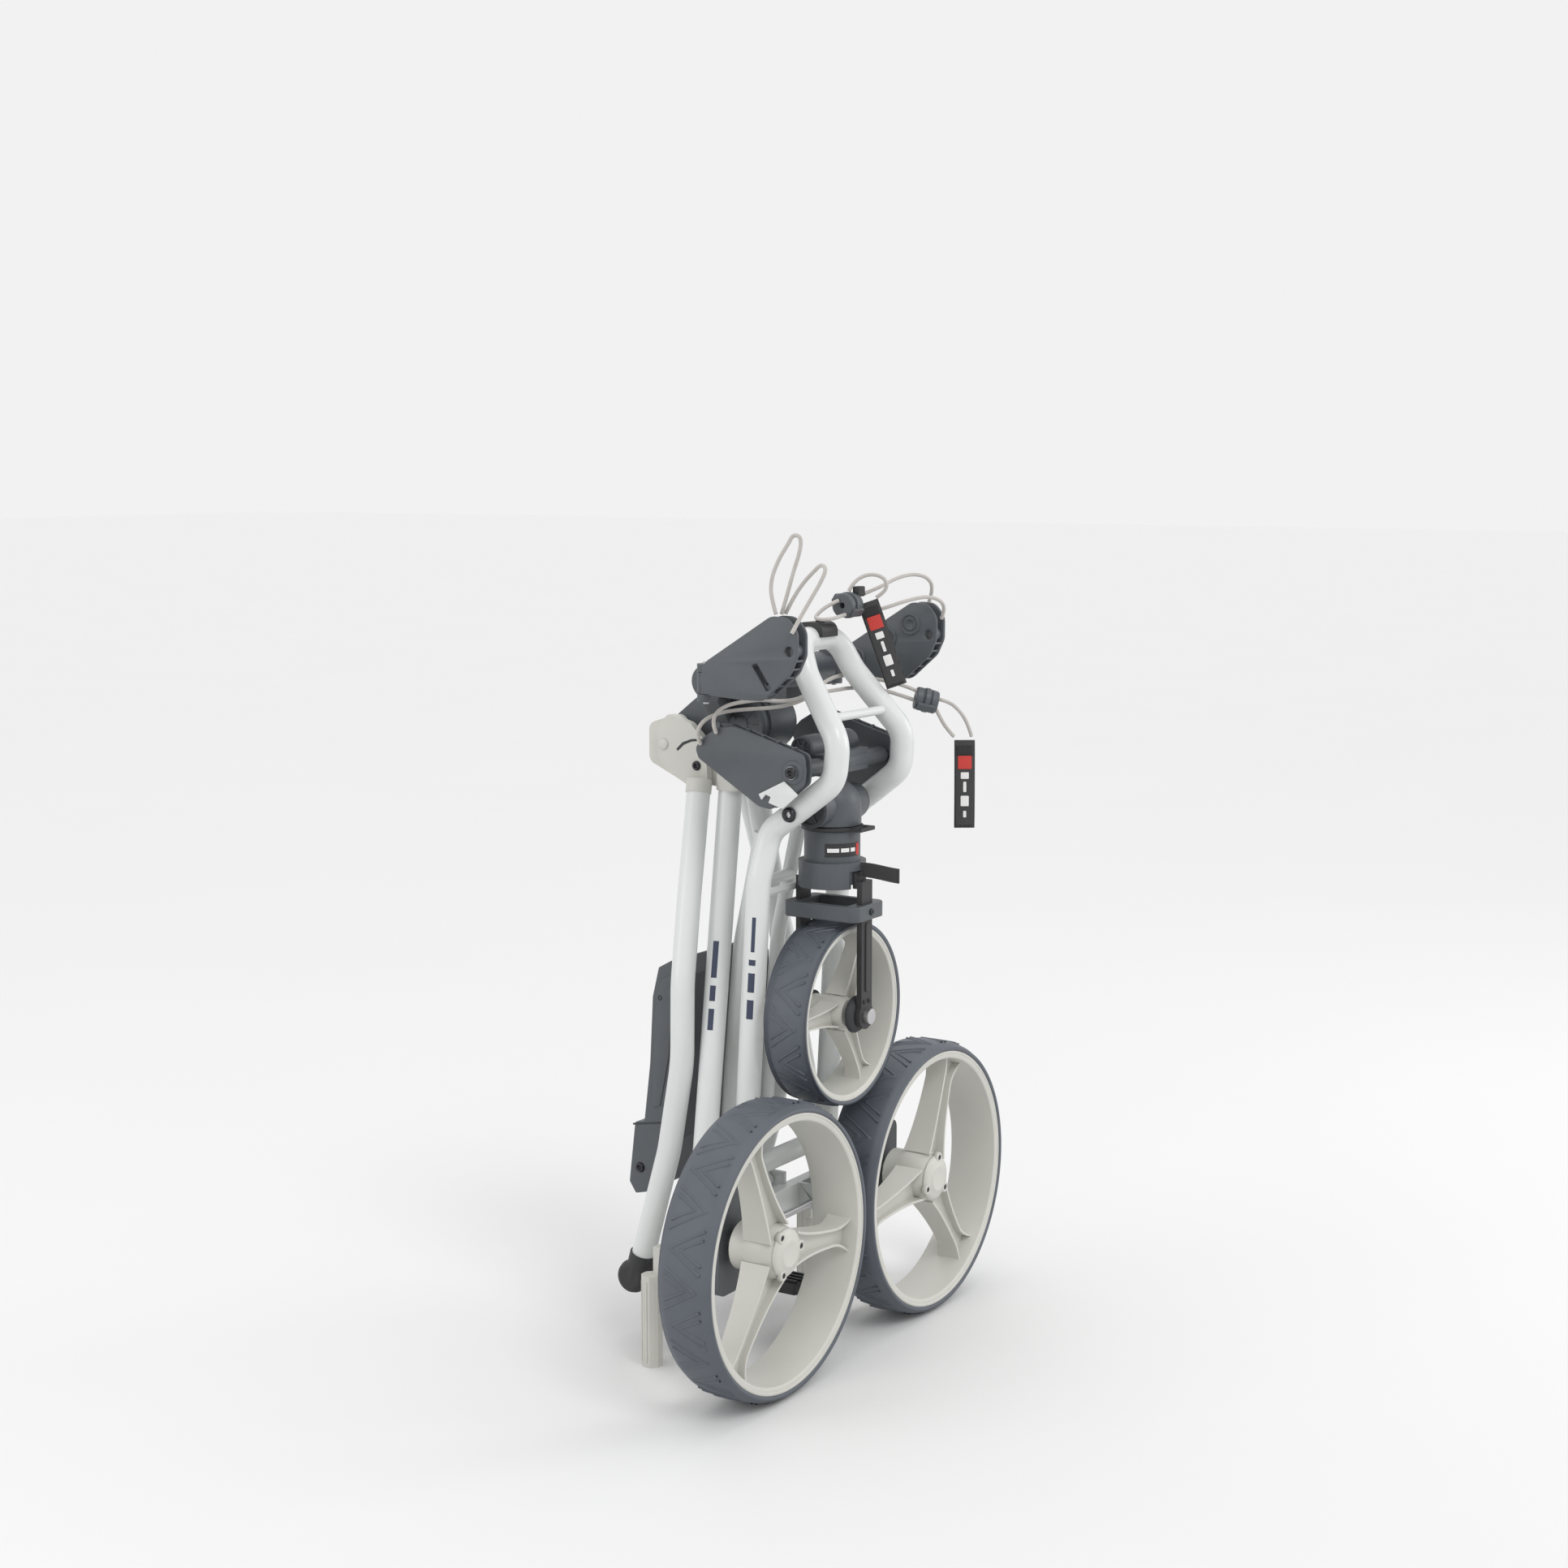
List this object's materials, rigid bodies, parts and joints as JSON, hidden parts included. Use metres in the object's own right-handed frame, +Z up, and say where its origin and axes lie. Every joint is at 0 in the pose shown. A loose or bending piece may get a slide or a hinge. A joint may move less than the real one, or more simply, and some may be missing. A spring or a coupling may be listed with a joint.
{
  "type": "folding golf push trolley",
  "caption": "Three-wheel push trolley for a golf bag, folded upright on its rear wheels and stand feet, with bag brackets, elastic cords, folding handle and brake pedal.",
  "frame": {"origin": "centre of the folded trolley's footprint, on the floor", "axes": "+Z up, -Y the way the trolley rolls forward (the side the folded wheels face), +X across to the trolley's left"},
  "size_m": [0.602, 0.3028, 0.8592],
  "materials": {
    "frame_paint": "satin off-white paint",
    "grey_plastic": "fine-grained slate grey",
    "wheel_plastic": "warm light grey, satin",
    "tyre_rubber": "foam rubber, grey",
    "black_plastic": "matt black",
    "bright_steel": "zinc-plated",
    "elastic_cord": "braided sleeve, light grey",
    "webbing": "woven black"
  },
  "bodies": {
    "rear_frame": {"leg_right": "frame_paint", "leg_left": "frame_paint", "axle_beam": "frame_paint", "frame_pins": "bright_steel", "stand_feet": "wheel_plastic", "top_knuckle": "wheel_plastic", "upper_bracket_arm": "grey_plastic"},
    "wheel_mount_right": {"wheel_bracket_right": "grey_plastic", "axle_right": "bright_steel"},
    "wheel_mount_left": {"wheel_bracket_left": "grey_plastic", "axle_left": "bright_steel"},
    "rear_wheel_right": {"rear_tyre_right": "tyre_rubber", "rear_rim_right": "wheel_plastic", "hub_cap_right": "wheel_plastic"},
    "rear_wheel_left": {"rear_tyre_left": "tyre_rubber", "rear_rim_left": "wheel_plastic", "hub_cap_left": "wheel_plastic"},
    "front_frame": {"front_tube_right": "frame_paint", "front_tube_left": "frame_paint", "front_cross_bars": "frame_paint", "bow_loop": "frame_paint", "bow_clip": "black_plastic", "head_pivot_rod": "bright_steel", "lower_bracket_beam": "grey_plastic", "lower_wing_bolts": "bright_steel", "cord_far_high": "elastic_cord", "cord_far_low": "elastic_cord", "cord_hook_loop": "elastic_cord", "cord_tab_loop_high": "elastic_cord", "cord_base_high": "elastic_cord", "cord_base_low": "elastic_cord", "cord_tab_outer": "elastic_cord", "cord_tab_inner": "elastic_cord", "cord_lock_upper": "grey_plastic", "cord_lock_lower": "grey_plastic", "pull_tab_upper": "webbing", "pull_tab_lower": "webbing"},
    "base_wing_right": {"lower_wing_right": "grey_plastic"},
    "base_wing_left": {"lower_wing_left": "grey_plastic"},
    "head": {"steering_head": "grey_plastic"},
    "lock_lever": {"swivel_lock_lever": "black_plastic"},
    "fork": {"fork_crown": "grey_plastic", "fork_leg_front": "black_plastic", "fork_leg_rear": "black_plastic", "fork_band": "grey_plastic", "front_axle": "bright_steel", "fork_strap": "webbing"},
    "front_wheel": {"front_tyre": "tyre_rubber", "front_rim": "wheel_plastic"},
    "link": {"parallel_link": "frame_paint"},
    "handle": {"handle_tube_right": "frame_paint", "handle_tube_left": "frame_paint", "handle_grip": "black_plastic", "handle_yokes": "wheel_plastic", "handle_console": "grey_plastic"},
    "bag_wing_right": {"upper_wing_right": "grey_plastic", "cord_wing_loop_tall": "elastic_cord", "cord_wing_loop_short": "elastic_cord"},
    "bag_wing_left": {"upper_wing_left": "grey_plastic"},
    "pedal": {"brake_pedal": "black_plastic"}
  },
  "joints": [
    {"name": "front_fold", "type": "hinge", "parent": "rear_frame", "child": "front_frame", "pos_m": [0, -0.0055, 0.13], "axis": [1, 0, 0], "range_deg": [0, 58.3]},
    {"name": "head_tilt", "type": "hinge", "parent": "front_frame", "child": "head", "pos_m": [0, -0.0655, 0.577], "axis": [1, 0, 0], "range_deg": [-58.4, 0]},
    {"name": "link_swing", "type": "hinge", "parent": "rear_frame", "child": "link", "pos_m": [0, 0.0455, 0.15], "axis": [1, 0, 0], "range_deg": [0, 58.4]},
    {"name": "fork_swivel", "type": "hinge", "parent": "head", "child": "fork", "pos_m": [0, -0.0655, 0.577], "axis": [0, 0, 1], "range_deg": [0, 90.1]},
    {"name": "front_wheel_spin", "type": "hinge", "parent": "fork", "child": "front_wheel", "pos_m": [0, -0.0675, 0.3608], "axis": [0, 1, 0], "continuous": true},
    {"name": "swivel_lock", "type": "hinge", "parent": "head", "child": "lock_lever", "pos_m": [0, -0.0655, 0.555], "axis": [0, 0, 1], "range_deg": [0, 20]},
    {"name": "wheel_fold_right", "type": "hinge", "parent": "rear_frame", "child": "wheel_mount_right", "pos_m": [-0.154, 0.0025, 0.15], "axis": [0, 0, 1], "range_deg": [-90.1, 0]},
    {"name": "wheel_fold_left", "type": "hinge", "parent": "rear_frame", "child": "wheel_mount_left", "pos_m": [0.154, 0.0025, 0.15], "axis": [0, 0, 1], "range_deg": [0, 90.1]},
    {"name": "rear_wheel_spin_right", "type": "hinge", "parent": "wheel_mount_right", "child": "rear_wheel_right", "pos_m": [-0.151, -0.0825, 0.15], "axis": [0, 1, 0], "continuous": true},
    {"name": "rear_wheel_spin_left", "type": "hinge", "parent": "wheel_mount_left", "child": "rear_wheel_left", "pos_m": [0.151, -0.0825, 0.15], "axis": [0, 1, 0], "continuous": true},
    {"name": "handle_fold", "type": "hinge", "parent": "rear_frame", "child": "handle", "pos_m": [0, 0.1195, 0.632], "axis": [1, 0, 0], "range_deg": [0, 140]},
    {"name": "base_wing_tilt_right", "type": "hinge", "parent": "front_frame", "child": "base_wing_right", "pos_m": [-0.091, -0.0795, 0.622], "axis": [1, 0, 0], "range_deg": [-30, 0]},
    {"name": "base_wing_tilt_left", "type": "hinge", "parent": "front_frame", "child": "base_wing_left", "pos_m": [0.091, -0.0795, 0.622], "axis": [1, 0, 0], "range_deg": [-30, 0]},
    {"name": "bag_wing_swing_right", "type": "hinge", "parent": "rear_frame", "child": "bag_wing_right", "pos_m": [-0.122, 0.0075, 0.709], "axis": [0, 0, 1], "range_deg": [-15, 0]},
    {"name": "bag_wing_swing_left", "type": "hinge", "parent": "rear_frame", "child": "bag_wing_left", "pos_m": [0.122, 0.0075, 0.709], "axis": [0, 0, 1], "range_deg": [0, 15]},
    {"name": "brake_press", "type": "hinge", "parent": "rear_frame", "child": "pedal", "pos_m": [0, 0.0055, 0.088], "axis": [1, 0, 0], "range_deg": [0, 20]}
  ],
  "couplings": [
    {"joint": "head_tilt", "follows": "front_fold", "ratio": -1},
    {"joint": "link_swing", "follows": "front_fold", "ratio": 1},
    {"joint": "fork_swivel", "follows": "front_fold", "ratio": 1.5437},
    {"joint": "wheel_fold_right", "follows": "front_fold", "ratio": -1.5437},
    {"joint": "wheel_fold_left", "follows": "front_fold", "ratio": 1.5437}
  ]
}
